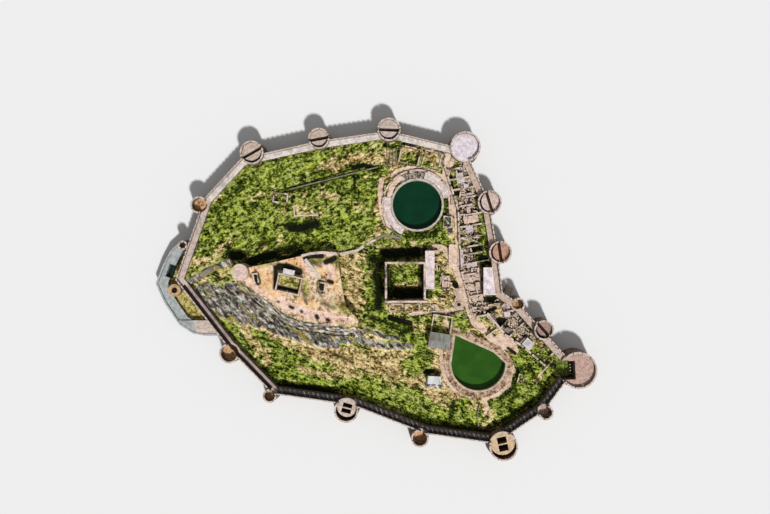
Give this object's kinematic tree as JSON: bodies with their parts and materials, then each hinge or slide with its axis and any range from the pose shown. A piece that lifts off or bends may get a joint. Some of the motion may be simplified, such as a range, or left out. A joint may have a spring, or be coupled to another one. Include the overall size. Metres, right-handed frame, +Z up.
{
  "type": "sea fort, 1:10 scale model",
  "caption": "Walled sea fort with round bastions, outwork, two water tanks, a citadel on a rock and roofless inner buildings.",
  "frame": {"origin": "centre of the plan's bounding box, at the low water line", "axes": "+X east, along the fort's length; +Y north; +Z up"},
  "size_m": [28.09, 21.74, 2.05],
  "materials": {
    "rubble_masonry": "dark weathered rubble masonry",
    "lime_capped_masonry": "masonry with worn lime capping",
    "ruin_masonry": "broken masonry",
    "lime_plaster": "smooth weathered lime plaster",
    "earth": "rubble strewn earth",
    "rock": "bare rock and earth",
    "sheet_metal": "dull grey corrugated sheet"
  },
  "bodies": {
    "root": {"bastion_parapets_east": "lime_capped_masonry", "bastion_parapets_north": "lime_capped_masonry", "bastion_parapets_south_east": "lime_capped_masonry", "bastion_parapets_south_west": "lime_capped_masonry", "bastions_east": "rubble_masonry", "bastions_north": "rubble_masonry", "bastions_south_east": "rubble_masonry", "bastions_south_west": "rubble_masonry", "citadel_house": "ruin_masonry", "citadel_kerb": "ruin_masonry", "citadel_knoll": "rock", "citadel_porch": "lime_plaster", "citadel_stair": "ruin_masonry", "citadel_turret": "ruin_masonry", "court_posts": "ruin_masonry", "court_walls": "ruin_masonry", "curtain_east": "rubble_masonry", "curtain_north": "rubble_masonry", "curtain_south": "rubble_masonry", "curtain_south_east": "rubble_masonry", "curtain_west": "rubble_masonry", "gate_steps": "ruin_masonry", "gatehouse_roof": "lime_plaster", "gatehouse_walls": "ruin_masonry", "hall_roof": "sheet_metal", "hall_walls": "ruin_masonry", "lane_house_roof": "lime_plaster", "lane_house_walls": "ruin_masonry", "long_terrace_roof": "lime_plaster", "long_terrace_walls": "ruin_masonry", "outwork_platform": "ruin_masonry", "outwork_terrace": "ruin_masonry", "outwork_tower": "ruin_masonry", "outwork_wall": "ruin_masonry", "palace_walls_east_west": "ruin_masonry", "palace_walls_north_south": "ruin_masonry", "parapet_east": "lime_capped_masonry", "parapet_north": "lime_capped_masonry", "parapet_south": "lime_capped_masonry", "parapet_south_east": "lime_capped_masonry", "parapet_west": "lime_capped_masonry", "pear_tank_lining": "ruin_masonry", "room_walls": "ruin_masonry", "round_tank_lining": "ruin_masonry", "round_tank_ring_wall": "ruin_masonry", "shed_roof": "sheet_metal", "shed_walls": "ruin_masonry", "street_ramp": "lime_plaster", "street_walls": "ruin_masonry", "tank_paving": "lime_plaster", "ward_north": "earth", "ward_south": "earth", "well": "ruin_masonry", "yard_ruins": "ruin_masonry", "yard_walls": "ruin_masonry"}
  },
  "joints": []
}
